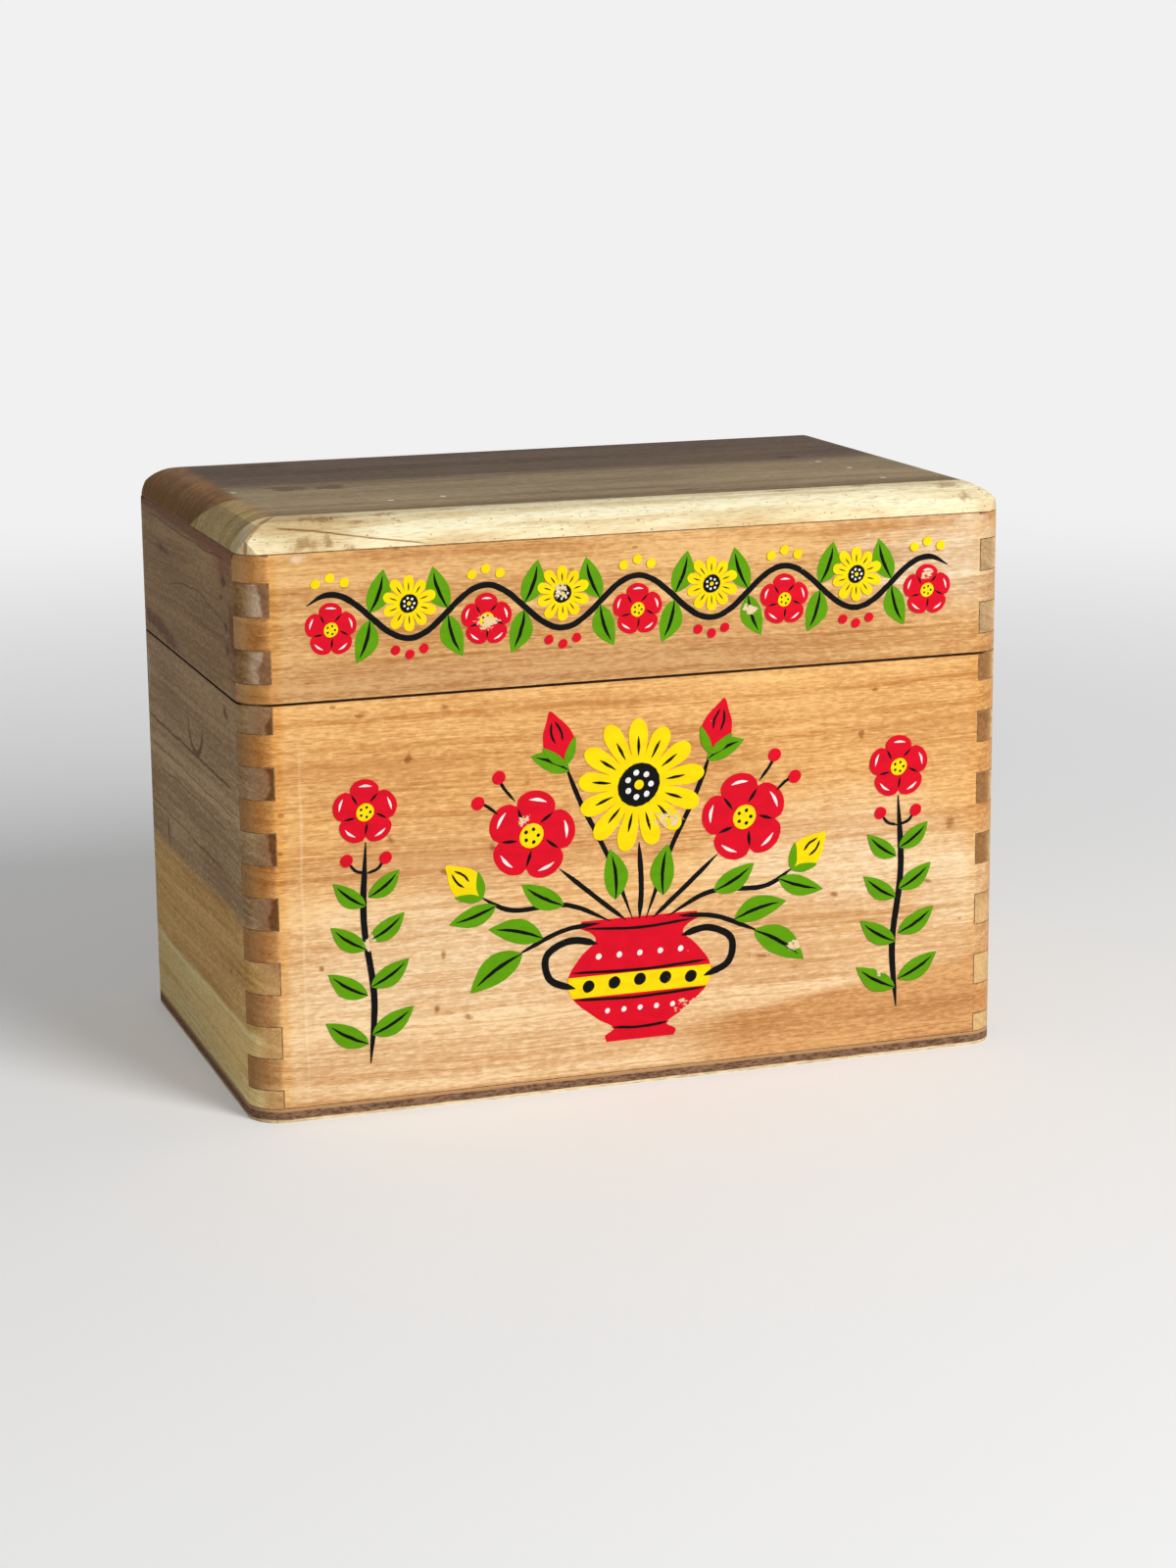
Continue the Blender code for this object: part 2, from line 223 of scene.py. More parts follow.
class Finish(Nodes):
    """A material in the making, in the box's own millimetres."""

    def __init__(self, name):
        self.material = bpy.data.materials.new(name)
        self.material.use_nodes = True
        super().__init__(self.material.node_tree)
        self.shader = self.tree.nodes["Principled BSDF"]
        coordinates = self.node("TexCoord", {}).outputs
        self.normal = Field(self, coordinates["Normal"])
        self.place = Field(self, coordinates["Object"]).scaled((1 / MM, 1 / MM, 1 / MM))
        self.x, self.y, self.z = (self.place.part(axis) for axis in range(3))

    def noise(self, bumps, detail, roughness, seed):
        """Noise about a half, with so many bumps to a millimetre along X, Y and Z."""
        place = self.place.scaled(bumps, (seed, seed, seed))
        inputs = {"Vector": place, "Scale": 1, "Detail": detail, "Roughness": roughness}
        return self.field("TexNoise", inputs)

    def blend(self, dark, light, share):
        """A colour between two others."""
        return self.field("MixRGB", {"Fac": share, "Color1": dark, "Color2": light})

    def bands(self, distance, per_mm, detail, seed):
        """Noise about a half that changes with one distance alone."""
        inputs = {"W": distance * per_mm + seed, "Scale": 1, "Detail": detail}
        return self.field("TexNoise", inputs, noise_dimensions="1D")

    def specks(self, cells, radius, share, seed):
        """Spots in a share of the cells of a net, with so many cells to a millimetre."""
        place = self.place.scaled(cells, (seed, seed, seed))
        node = self.node("TexVoronoi", {"Vector": place, "Scale": 1})
        near = Field(self, node.outputs["Distance"]).rise(radius, radius * 0.6)
        draw = Field(self, node.outputs["Color"]).part(X_AXIS)
        return near * draw.rise(1 - share, 1 - share * 0.8)

    def mark(self, centre, radii, turn=(0, 0, 0), soft=0.4, ragged=0.5, grit=0.8):
        """1 inside an ellipsoid with a ragged, soft edge, and 0 outside it."""
        inputs = {"Vector": self.place, "Location": centre, "Rotation": turn, "Scale": radii}
        local = self.field("Mapping", inputs, vector_type="TEXTURE")
        bumps = grit / min(radii)
        rough = self.noise((bumps, bumps, bumps), 4, 0.6, sum(centre))
        reach = local.length() + rough.swing(2 * ragged)
        return reach.rise(1, 1 - soft)

    def on_front(self, x, z, wide, high, turn=0, deep=2, **edge):
        return self.mark((x, FRONT, z), (wide, deep, high), (0, turn, 0), **edge)

    def on_left(self, y, z, wide, high, turn=0, deep=2, **edge):
        return self.mark((-HALF_WIDTH, y, z), (deep, wide, high), (turn, 0, 0), **edge)

    def thread(self, along, across, ends, level, width=0.3, slope=0, bow=0, waver=1):
        """1 on a thin wavering line between two ends, at about one level, in mm."""
        start, end = ends
        half = (end - start) / 2
        share = (along - (start + end) / 2) * (1 / half)
        wander = self.bands(along, 0.10, 2, level).swing(waver)
        off = across - level - share * (slope * half) + share * share * bow + wander
        return off.line(width) * abs(share).rise(1, 0.85)

    def done(self, colour, roughness, height, depth, metallic=0, shine=0.5):
        """Sets the surface. height is a field from 0 to 1, and depth its relief in mm."""
        bump = self.field("Bump", {"Height": height, "Distance": depth * MM, "Strength": 1})
        surface = {"Base Color": colour, "Roughness": roughness, "Normal": bump}
        self.plug(self.shader, {**surface, "Metallic": metallic, "Specular IOR Level": shine})
        return self.material


def stretched(grain, along, across):
    """Bumps to a millimetre along the grain's axis, and across it both ways."""
    return tuple(along if axis == grain else across for axis in range(3))


class Wood(Finish):
    """A sanded and lacquered board, before its own colours and marks."""

    def __init__(self, name, grain, pith, seed, swing=7):
        """A board whose fibres run along one axis, from a tree with its pith at a point in mm.

        swing is how far its growth rings wander, in mm.
        """
        super().__init__(name)
        self.grain = grain
        self.seed = seed
        across = stretched(grain, 0, 1)
        offset = tuple(-share * value for share, value in zip(across, pith))
        sway = self.fibrous(0.008, 0.03, 1, 0.5, 0).swing(swing)
        quiver = self.fibrous(0.06, 0.4, 2, 0.5, 3).swing(1.2)
        ring = self.place.scaled(across, offset).length() + sway + quiver
        self.rings = self.bands(ring, 0.85, 2, seed)
        breaks = self.fibrous(0.035, 0.3, 2, 0.5, 21).rise(0.40, 0.56)
        self.lines = (self.bands(ring, 0.40, 2, seed + 20) - 0.5).line(0.055) * breaks
        self.wide = self.bands(ring, 0.13, 1, seed + 40)
        self.fibres = self.fibrous(0.12, 3.2, 3, 0.7, 5)
        self.pores = self.fibrous(0.40, 5.5, 1, 0.5, 7).rise(0.55, 0.68)
        self.ripple = self.fibrous(0.42, 1.5, 3, 0.62, 9)
        self.flecks = self.fibrous(0.55, 1.7, 2, 0.6, 10).rise(0.42, 0.64)
        self.clouds = self.fibrous(0.018, 0.07, 3, 0.55, 11)
        self.end = abs(self.normal.part(grain)).rise(0.55, 0.92)
        self.level = abs(self.normal.part(Z_AXIS))

    def fibrous(self, along, across, detail, roughness, number):
        """Noise with so many bumps to a millimetre along the grain and across it."""
        bumps = stretched(self.grain, along, across)
        return self.noise(bumps, detail, roughness, self.seed + number)

    def tone(self, rings=0.35, wide=0.35, fibres=0.5, ripple=0.6, flecks=0.18, clouds=0.6):
        """How light the wood is, about a half."""
        return (
            self.rings.swing(rings) + self.wide.swing(wide) + self.fibres.swing(fibres)
            + self.ripple.swing(ripple) + self.flecks.swing(flecks) + self.clouds.swing(clouds)
            + 0.5
        )

    def face(self, dark, light, **shares):
        """The colour of a face along the grain, between a dark and a light tone."""
        colour = self.blend(dark, light, self.tone(**shares).rise(0.25, 0.75))
        return colour.tinted(LINE_TINT, self.lines * 0.6).tinted(PORE_TINT, self.pores * 0.6)

    def with_ends(self, colour, dark, light):
        """Adds the end grain, with its open pores, where the face cuts the fibres."""
        specks = self.noise((1.9, 1.9, 1.9), 3, 0.7, self.seed + 13)
        share = (specks.swing(0.9) + self.rings.swing(0.4) + 0.5).rise(0.2, 0.8)
        return colour.mixed(self.blend(dark, light, share), self.end)

    def inside(self):
        """1 on the faces that look into the box, and 0 outside."""
        within_x = abs(self.x).rise(INNER_X + 0.10, INNER_X + 0.05)
        within_y = abs(self.y).rise(INNER_Y + 0.10, INNER_Y + 0.05)
        below_top = self.z.rise(top_low.z + 0.10, top_low.z + 0.05)
        above_bottom = self.z.rise(ply_high.z - 0.10, ply_high.z - 0.05)
        return within_x * within_y * below_top * above_bottom

    def sawn_rim(self):
        """1 on the rims that the saw left when it cut the lid from the body."""
        near = abs(self.z - SEAM).rise(0.6, 0.3)
        return near * self.level.rise(0.7, 0.9)

    def lacquered(self, colour, roughness=0.5, shine=0.03):
        """Bares the inside and the rims, paints shade along the seam and on the rims inside its gap,
        and finishes the board.
        """
        seam = abs(self.z - SEAM).rise(0.28, 0.18)
        # Painted shade: a dark line along the seam between lid and body
        colour = colour.tinted(SEAM_SHADE_TINT, seam * self.level.rise(0.7, 0.3))
        bare = self.inside().larger(self.sawn_rim())
        raw = self.tone(wide=0.3, clouds=0.3).rise(0.1, 0.9)
        colour = colour.mixed(self.blend(RAW_DARK, RAW_LIGHT, raw), bare)
        rim = abs(self.x).rise(HALF_WIDTH - 0.9, HALF_WIDTH - 0.4)
        rim = rim.larger(abs(self.y).rise(HALF_DEPTH - 0.9, HALF_DEPTH - 0.4))
        # Painted shade on the rims by the outer faces, which lie in the seam's gap
        colour = colour.tinted(SEAM_SHADE_TINT, seam * rim)
        height = self.fibres.swing(0.5) + self.ripple.swing(0.35) - self.pores * 0.5 + 0.5
        rough = self.ripple.swing(0.16) + roughness + bare * 0.2 + self.end * 0.12
        return self.done(colour, rough, height, 0.035, shine=shine)


# Tones of the wood, and of the shade painted on it, as linear colours
LINE_TINT = (0.76, 0.62, 0.46)
PORE_TINT = (0.72, 0.58, 0.44)
RAW_DARK = (0.50, 0.33, 0.17)
RAW_LIGHT = (0.74, 0.55, 0.33)
SPOT_TINT = (0.50, 0.34, 0.22)
STAIN_TINT = (0.42, 0.26, 0.17)
JOINT_TINT = (0.96, 0.85, 0.64)
FINGER_TINT = (0.70, 0.66, 0.67)
# Painted shade on the front's rounded corners
CORNER_SHADE_TINT = (0.85, 0.78, 0.72)
GLUE_TINT = (0.52, 0.36, 0.25)
RED_TINT = (0.62, 0.40, 0.28)
# Painted shade in the seam between lid and body
SEAM_SHADE_TINT = (0.12, 0.06, 0.04)

# Marks on the front: x and z, the two radii and the turn of each, in mm and radians
FRONT_SPOTS = (
    (-52, 73.4, 1.8, 0.5, 0.1), (-47.1, 50.6, 1.2, 0.8, 0.4), (-43.4, 65, 0.9, 1.5, 0.3),
    (-36.4, 73.8, 1.2, 0.7, 0), (-33, 39.8, 2.4, 0.5, 0.5), (-37.1, 43.7, 0.9, 0.7, 0.2),
    (-37.6, 28.6, 0.8, 1.2, 0), (-60.2, 28, 0.7, 0.7, 0), (-33, 16.2, 1.4, 0.9, 0.6),
    (-39, 18.2, 0.7, 1.2, 0.1), (-28, 47.5, 0.8, 1.1, 0), (38.6, 32.7, 1.2, 0.8, 0.2),
    (44, 62.8, 0.8, 1.2, 0.3), (46.6, 71, 1.2, 0.5, 0), (62.1, 44.2, 1.4, 1.6, 0.2),
    (57.6, 33.4, 1.6, 0.5, 0.4), (36.6, 95.5, 0.9, 0.8, 0), (23.9, 22.1, 3, 0.5, 0.1),
)
PALE_ZONES = (
    (-36, 25, 50, 23), (40, 38, 40, 19), (62, 94, 30, 12), (62, 32, 16, 18),
)
PALE_SMEARS = (
    (-62.5, 101.8, 2.6, 1.1), (66, 101.8, 4.4, 1.3),
)
PALE_STAIN = (40.9, 25.6, 1.9, 0.9)


def front_wood():
    wood = Wood("front_wood", X_AXIS, (0, 10, -190), 2)
    grain = {"ripple": 0.46, "flecks": 0.14, "fibres": 0.6}
    colour = wood.face((0.62, 0.29, 0.09), (0.92, 0.55, 0.21), **grain)
    pale = [(wood.z + wood.clouds.swing(60)).rise(62, 8) * 0.75]
    pale += [wood.on_front(*zone, deep=20, soft=0.8) for zone in PALE_ZONES]
    sap = wood.face((0.74, 0.45, 0.22), (0.96, 0.76, 0.48), **grain)
    colour = colour.mixed(sap, largest(pale))
    on_lid = wood.z.rise(SEAM - 1, SEAM + 1)
    colour = colour.tinted((0.895, 0.925, 1), on_lid)
    lid_foot = on_lid * wood.z.rise(SEAM + 10, SEAM + 3) * abs(wood.x).rise(INNER_X + 1, INNER_X - 1)
    colour = colour.tinted((0.82, 0.77, 0.80), lid_foot * wood.x.rise(55, 20))

    # The ragged edge of the stain by the joints, and of the painted shade on the rounded corners
    stain_and_shade_edge = abs(wood.x) + wood.noise((0.3, 0.3, 0.5), 3, 0.6, 3).swing(2.2)
    strength = wood.x.rise(30, -30) * 0.6 + 0.4
    colour = colour.tinted(JOINT_TINT, stain_and_shade_edge.rise(INNER_X - 2.4, INNER_X - 0.8) * strength)
    finger = abs(wood.x).rise(INNER_X - 0.3, INNER_X + 0.7) * (wood.z.rise(3, 10) * 0.4 + 0.6)
    colour = colour.tinted(FINGER_TINT, finger * strength)
    # Painted shade on the rounded corners, stronger on the left one
    colour = colour.tinted(CORNER_SHADE_TINT, stain_and_shade_edge.rise(INNER_X + 0.2, INNER_X + 3) * strength)

    foot = (wood.z + wood.wide.swing(3)).rise(4.4, 2.6)
    climb = wood.z - wood.x * 0.16 + wood.clouds.swing(8)
    foot = foot.larger(climb.rise(9, 6) * wood.x.rise(2, 22))
    colour = colour.mixed(wood.face((0.51, 0.225, 0.07), (0.75, 0.39, 0.145)), foot * 0.9)
    rust = wood.noise((0.045, 0.2, 0.35), 4, 0.65, 12).rise(0.60, 0.72)
    colour = colour.tinted((0.84, 0.62, 0.44), rust * 0.55)
    # Painted highlight: a faint pale vertical line near the left corner
    crease = wood.x + 63.2 + wood.bands(wood.z, 0.06, 2, 5).swing(0.8)
    crease = crease.line(0.4) * wood.z.rise(72, 64) * wood.z.rise(3, 8)
    colour = colour.mixed((0.98, 0.80, 0.52), crease * wood.clouds * 0.36)

    for smear in PALE_SMEARS:
        share = wood.on_front(*smear, deep=2.5, soft=0.9, ragged=0.9) * 0.5
        colour = colour.mixed((0.88, 0.72, 0.52), share)
    spots = [wood.specks((0.09, 0.09, 0.14), 0.07, 0.35, 4.9) * 0.7]
    spots += [wood.on_front(*spot, soft=0.8, ragged=0.9) for spot in FRONT_SPOTS]
    colour = colour.tinted(SPOT_TINT, largest(spots) * 0.9)
    colour = colour.mixed((0.78, 0.42, 0.16), wood.on_front(*PALE_STAIN, ragged=0.9) * 0.7)
    colour = wood.with_ends(colour, (0.46, 0.235, 0.09), (0.76, 0.42, 0.165))
    below = wood.z.rise(SEAM + 1, SEAM - 1) * wood.x.rise(30, -30)
    colour = colour.tinted((0.74, 0.68, 0.60), wood.end * below)
    return wood.lacquered(colour, roughness=0.42, shine=0.08)


def back_wood():
    wood = Wood("back_wood", X_AXIS, (0, -60, 40), 31, swing=14)
    colour = wood.face((0.50, 0.27, 0.11), (0.78, 0.50, 0.26))
    spots = wood.specks((0.08, 0.08, 0.12), 0.10, 0.4, 8.4)
    colour = colour.tinted(SPOT_TINT, spots * 0.7)
    colour = wood.with_ends(colour, (0.30, 0.15, 0.06), (0.60, 0.33, 0.14))
    return wood.lacquered(colour, roughness=0.42, shine=0.2)


def side_colour(wood):
    """A side board: grey-brown heartwood above, a golden band and pale sapwood below, lightened further
    by painted light from below.
    """
    colour = wood.face((0.35, 0.22, 0.105), (0.65, 0.45, 0.245), ripple=0.35)
    height = wood.z + wood.clouds.swing(5) + wood.wide.swing(2)
    colour = colour.tinted((0.86, 0.81, 0.76), wood.z.rise(52, 68))
    colour = colour.tinted((0.85, 0.79, 0.68), wood.z.rise(SEAM - 1, SEAM + 1))
    golden = wood.face((0.60, 0.34, 0.10), (0.88, 0.57, 0.215), ripple=0.35)
    colour = colour.mixed(golden, height.rise(36.4, 34.4))
    # Painted light: the pale sapwood is made lighter still, as if lit by light bounced from below
    pale = wood.face((0.93, 0.66, 0.26), (0.99, 0.87, 0.44), ripple=0.35)
    return colour.mixed(pale, height.rise(17.6, 15.8))


def with_finger_ends(wood, colour, sap_dark, sap_light):
    """The side boards' end grain: darker than their faces, and stained at the fingers' feet."""
    heart = wood.with_ends(colour, (0.31, 0.215, 0.14), (0.58, 0.43, 0.285))
    heart = heart.tinted((0.66, 0.49, 0.35), wood.end * wood.z.rise(SEAM + 1, SEAM - 1))
    heart = heart.tinted((1, 0.88, 0.66), wood.end * wood.x.rise(-30, 30))
    sap = wood.with_ends(colour, sap_dark, sap_light)
    colour = heart.mixed(sap, wood.z.rise(36, 24))
    reach = wood.bands(wood.z, 0.14, 2, 3).swing(4)
    edge = wood.noise((0.5, 0.5, 0.5), 2, 0.5, 2).swing(1.2)
    foot = abs(wood.x) + edge + reach
    stain = foot.rise(INNER_X + 1.5, INNER_X + 0.7) * wood.end * wood.z.rise(22, 40)
    return colour.tinted(GLUE_TINT, stain * wood.x.rise(30, -30))


# Marks on the left side: y and z, the two radii and the turn of each, in mm and radians
LEFT_SPOTS = (
    (-33, 96.8, 2.8, 1.5, 0), (-30.2, 93.6, 1.2, 0.7, 0.2), (-33.8, 89, 2, 1, 0.3),
    (-34.3, 85, 2.4, 1.4, 0.1), (-31, 72.8, 2.6, 1.2, 0.2), (24, 39.4, 1, 3.6, -0.3),
    (13.4, 42.8, 0.6, 0.5, 0), (-28.3, 24.6, 0.8, 0.5, 0.1),
)
# Dark lines there: the two ends, the level and the bow of each, in mm
LEFT_LINES = (
    ((-32, 15), 91.6, 2.6), ((-37, 38), 54.6, 0), ((-30, 30), 51.2, 0.6), ((-26, 40), 42.7, 0),
    ((-34, 34), 100.4, -0.4),
)


def left_wood():
    wood = Wood("left_wood", Y_AXIS, (40, 0, 260), 57)
    colour = side_colour(wood)
    lines = [wood.thread(wood.y, wood.z, (-36, 40), 59.7, 0.45) * 1.2]
    for ends, level, bow in LEFT_LINES:
        lines.append(wood.thread(wood.y, wood.z, ends, level, 0.26, bow=bow))
    streak = wood.on_left(24, 79.2, 22, 2.1, 0.08, soft=0.5, ragged=0.9)
    streak = streak.larger(wood.on_left(20, 95.2, 8, 1.3, soft=0.9, ragged=0.9))
    ring = wood.place.scaled((0, 1, 1), (0, 4.4, -66.4)).length()
    hook_edge = wood.noise((1, 1, 1), 2, 0.5, 8).swing(1.2)
    hook = (ring - 6.2 + hook_edge).line(1.1) * wood.z.rise(68.5, 62.5)
    red = (wood.z + wood.clouds.swing(5) + wood.fibres.swing(2)).rise(100.2, 101.4)
    red_corner = wood.on_left(-33, 99.6, 12, 5, deep=5, soft=0.9, ragged=0.7, grit=1.5)
    red_edge = wood.on_left(-38, 88, 3, 12, deep=5, soft=0.9, ragged=0.7)
    colour = colour.tinted(RED_TINT, largest((red, red_corner, red_edge)))
    spots = [wood.on_left(*spot, soft=0.6, ragged=0.8) for spot in LEFT_SPOTS]
    colour = colour.tinted(STAIN_TINT, largest((largest(lines) * 0.8, streak * 0.85, hook, *spots)))
    scuff = wood.on_left(37.5, 69.5, 1.6, 6, deep=4, soft=0.8, ragged=0.9)
    colour = colour.mixed((0.52, 0.45, 0.36), scuff * 0.6)
    colour = with_finger_ends(wood, colour, (0.43, 0.235, 0.085), (0.69, 0.42, 0.17))
    return wood.lacquered(colour)


def right_wood():
    wood = Wood("right_wood", Y_AXIS, (-20, 0, -90), 83, swing=12)
    colour = wood.face((0.52, 0.31, 0.13), (0.80, 0.56, 0.30), ripple=0.35)
    spots = wood.specks((0.1, 0.09, 0.13), 0.10, 0.4, 3.1)
    colour = colour.tinted(SPOT_TINT, spots * 0.7)
    colour = with_finger_ends(wood, colour, (0.56, 0.34, 0.14), (0.80, 0.53, 0.25))
    return wood.lacquered(colour)


# Dark marks on the top: x and y and the two radii of each, in mm
TOP_STAINS = (
    (-53.5, -2, 5.5, 3.4), (-45.2, -2.8, 3.6, 4.2), (48.9, 4.7, 2.6, 2.1),
    (-8.9, -24, 1.4, 0.8), (16, 36, 4, 1.6), (-50, 32, 6, 2.2),
    (14, -32, 3, 0.9),
)
TOP_DROPS = ((-29.7, -23.1), (-39.9, -24.6), (52, -4), (54.1, -30.4), (54, -14.8), (-64.1, -3.5))
TOP_ROUND = 8.1
# Brown blotches on the round-over at the front: x and y and the two radii of each, in mm
ROUND_STAINS = (
    (-57, -39.3, 6, 1.5), (-45.5, -39, 3.6, 0.9), (-50.5, -40.8, 2.4, 0.6),
    (-60.6, -43.6, 3.2, 2), (-56.6, -43.5, 1.2, 2.2), (-52.8, -44.2, 1.4, 1.1),
    (-34, -38.2, 3, 0.5), (63, -39.8, 3.2, 1.7), (65.5, -42.6, 1.8, 1.5),
    (31, -38.6, 4.4, 0.7), (46, -38.2, 2.6, 0.6),
)


def round_height(y):
    """The height of the round-over along the front edge of the top."""
    return top_high.z - TOP_ROUND + math.sqrt(TOP_ROUND**2 - (HALF_DEPTH - TOP_ROUND + y) ** 2)


def top_wood():
    """The top board: brown and grimy on the flat, and worn to pale sapwood along the front edge."""
    wood = Wood("top_wood", X_AXIS, (0, 190, 20), 110, swing=10)
    across = wood.y + wood.clouds.swing(24) + wood.wide.swing(10)
    colour = wood.face((0.056, 0.031, 0.014), (0.15, 0.088, 0.044), ripple=0.35)
    tan = wood.face((0.26, 0.19, 0.10), (0.45, 0.34, 0.19), ripple=0.35)
    colour = colour.mixed(tan, across.rise(9, -9))
    grime = wood.noise((0.02, 0.06, 0.06), 4, 0.65, 15).rise(0.45, 0.70)
    colour = colour.tinted((0.66, 0.62, 0.60), grime * 0.6)

    scuffs = wood.noise((0.035, 1.1, 1.1), 3, 0.6, 19).rise(0.58, 0.74)
    colour = colour.mixed((0.40, 0.34, 0.26), scuffs * 0.25)
    near_edge = wood.y.rise(-27, -35)
    colour = colour.tinted((0.78, 0.71, 0.62), near_edge)

    brown = wood.face((0.15, 0.064, 0.013), (0.35, 0.16, 0.036), ripple=0.35)
    left_round = wood.x.rise(-HALF_WIDTH + 9.6, -HALF_WIDTH + 6.6)
    colour = colour.mixed(brown, left_round)
    sap = wood.face((0.84, 0.72, 0.44), (0.94, 0.88, 0.62), ripple=0.3)
    sap = sap.tinted((1, 0.94, 0.88), wood.z.rise(top_low.z + 2.6, top_low.z + 0.4))
    sap_edge = wood.y + (wood.z - top_low.z) * 1.4 + wood.clouds.swing(5)
    left_sap = left_round * sap_edge.rise(-4, -5.4)
    olive = wood.face((0.52, 0.37, 0.15), (0.82, 0.65, 0.32), clouds=0.8)
    # Painted shade: the olive sapwood darker towards the top of the left round-over
    olive = olive.tinted((0.62, 0.58, 0.52), wood.z.rise(104.5, 107.6))
    colour = colour.mixed(olive, left_sap)
    crease = wood.y + wood.x * 0.012 + wood.ripple.swing(0.8)
    front_round = crease.rise(-HALF_DEPTH + 7.9, -HALF_DEPTH + 7.1)
    colour = colour.mixed(sap, front_round)
    # The left end of the front round-over, darker
    darker_round_end = wood.mark((-60, -41, 106), (16, 9, 9), soft=0.8, ragged=0.6) * front_round
    colour = colour.tinted((0.80, 0.70, 0.57), darker_round_end)

    stains = [
        wood.mark((x, y, top_high.z), (wide, deep, 3), soft=0.6, ragged=0.9)
        for x, y, wide, deep in TOP_STAINS
    ]
    for x, y, wide, high in ROUND_STAINS:
        place = (x, y, round_height(y))
        stains.append(wood.mark(place, (wide, high, high), soft=0.9, ragged=1.2, grit=1.2) * 0.85)
    colour = colour.tinted(STAIN_TINT, largest(stains) * 0.8)
    crack = wood.thread(wood.x, wood.z, (-66, -38.6), 105.2, 0.22, slope=-0.144, waver=0.5)
    crack = crack * wood.y.rise(-HALF_DEPTH + 6, -HALF_DEPTH + 5)
    mitre = (wood.x + HALF_WIDTH) - (wood.y + HALF_DEPTH) + wood.clouds.swing(3)
    mitre = mitre.line(0.8) * wood.x.rise(-63.6, -65.4)
    colour = colour.tinted(STAIN_TINT, (crack * 0.9).larger(mitre * 0.75))
    specks = wood.specks((0.34, 0.6, 0.6), 0.12, 0.5, 6.6) * 0.85
    fine = wood.specks((0.85, 1.2, 1.2), 0.2, 0.5, 9.3) * 0.7
    colour = colour.tinted(SPOT_TINT, specks.larger(fine) * front_round)
    drops = (wood.mark((*place, top_high.z), (0.7, 0.6, 1), soft=0.3) for place in TOP_DROPS)
    colour = colour.mixed((0.85, 0.80, 0.70), largest(drops))
    ends = wood.with_ends(colour, (0.13, 0.062, 0.018), (0.28, 0.15, 0.045))
    return wood.lacquered(colour.mixed(ends, left_sap * -0.5 + 0.5))


def plywood():
    wood = Wood("plywood", X_AXIS, (0, 20, -60), 140)
    colour = wood.face((0.62, 0.45, 0.24), (0.90, 0.72, 0.45))
    side = wood.level.rise(0.5, 0.3)
    wave = wood.z + wood.noise((0.15, 0.15, 0), 2, 0.5, 9).swing(0.3)
    upper = wave.rise(ply_high.z - 0.55, ply_high.z - 0.4)
    colour = colour.mixed((0.50, 0.26, 0.11), upper * side)
    grit = wood.noise((0.7, 0.7, 3), 3, 0.8, 5).rise(0.36, 0.64)
    core = wave.rise(0.5, 0.62) * wave.rise(ply_high.z - 0.4, ply_high.z - 0.55)
    colour = colour.mixed(wood.blend((0.10, 0.048, 0.024), (0.30, 0.17, 0.10), grit), core * side)
    return wood.lacquered(colour, roughness=0.6, shine=0.1)


def glue():
    finish = Finish("glue")
    grit = finish.noise((1.5, 1.5, 1.5), 3, 0.6, 1)
    colour = finish.blend((0.15, 0.075, 0.03), (0.34, 0.19, 0.08), grit.rise(0.35, 0.65))
    return finish.done(colour, grit.swing(0.3) + 0.6, grit, 0.03, shine=0.2)


def aged_brass():
    finish = Finish("aged_brass")
    clouds = finish.noise((0.25, 0.25, 0.25), 4, 0.6, 2)
    dull = clouds.rise(0.42, 0.62)
    scratches = finish.noise((9, 9, 0.5), 2, 0.6, 3)
    colour = finish.blend((0.74, 0.55, 0.27), (0.45, 0.31, 0.14), dull)
    pits = finish.specks((1.4, 1.4, 1.4), 0.22, 0.3, 7)
    colour = colour.mixed((0.13, 0.08, 0.035), pits * dull)
    rough = scratches.swing(0.25) + dull * 0.22 + 0.28
    return finish.done(colour, rough, scratches - pits * 0.3, 0.012, metallic=1)


# Where the paint has flaked: x and z and the two radii of each patch, in mm
WORN_PATCHES = (
    (5.6, 50, 4.6, 2.6), (-22, 52, 2.4, 1.8), (9.5, 14.2, 3.4, 2), (-51, 31.5, 2, 2.6),
    (31, 23.6, 3, 1.6), (48, 17, 1.8, 2.2), (-28, 89, 3.6, 2.4),
    (-14.6, 93.6, 2.2, 2), (22, 87.6, 3.2, 1.8), (57, 92, 2, 1.6),
)


def enamel(name, colour, wear, seed):
    """Flat screened-on paint, flaked off to the wood in a few ragged patches."""
    finish = Finish(name)
    shade = finish.noise((0.25, 0.25, 0.6), 3, 0.6, seed)
    deep = tuple(0.88 * channel for channel in colour)
    flat = finish.blend(deep, colour, shade.rise(0.3, 0.7))
    worn = largest(finish.on_front(*patch, deep=9, soft=0.7, ragged=0.6) for patch in WORN_PATCHES)
    flakes = finish.noise((0.8, 0.8, 1.1), 5, 0.66, seed + 8)
    chips = (flakes + worn * 0.26).rise(0.715 - wear, 0.735 - wear)
    flat = flat.mixed(CHIP_COLOUR, chips)
    rough = shade.swing(0.2) + 0.36 + chips * 0.2
    return finish.done(flat, rough, shade * 0.3 - chips + 0.5, 0.03, shine=0.08)


CHIP_COLOUR = (0.80, 0.60, 0.36)
PAINTS = {
    "red": ((0.74, 0.004, 0.020), 0),
    "yellow": ((0.98, 0.73, 0.002), 0),
    "green": ((0.115, 0.345, 0.002), 0.01),
    "black": ((0.004, 0.004, 0.004), 0.015),
    "white": ((0.88, 0.86, 0.80), -0.02),
}
DISC_POINTS = 18


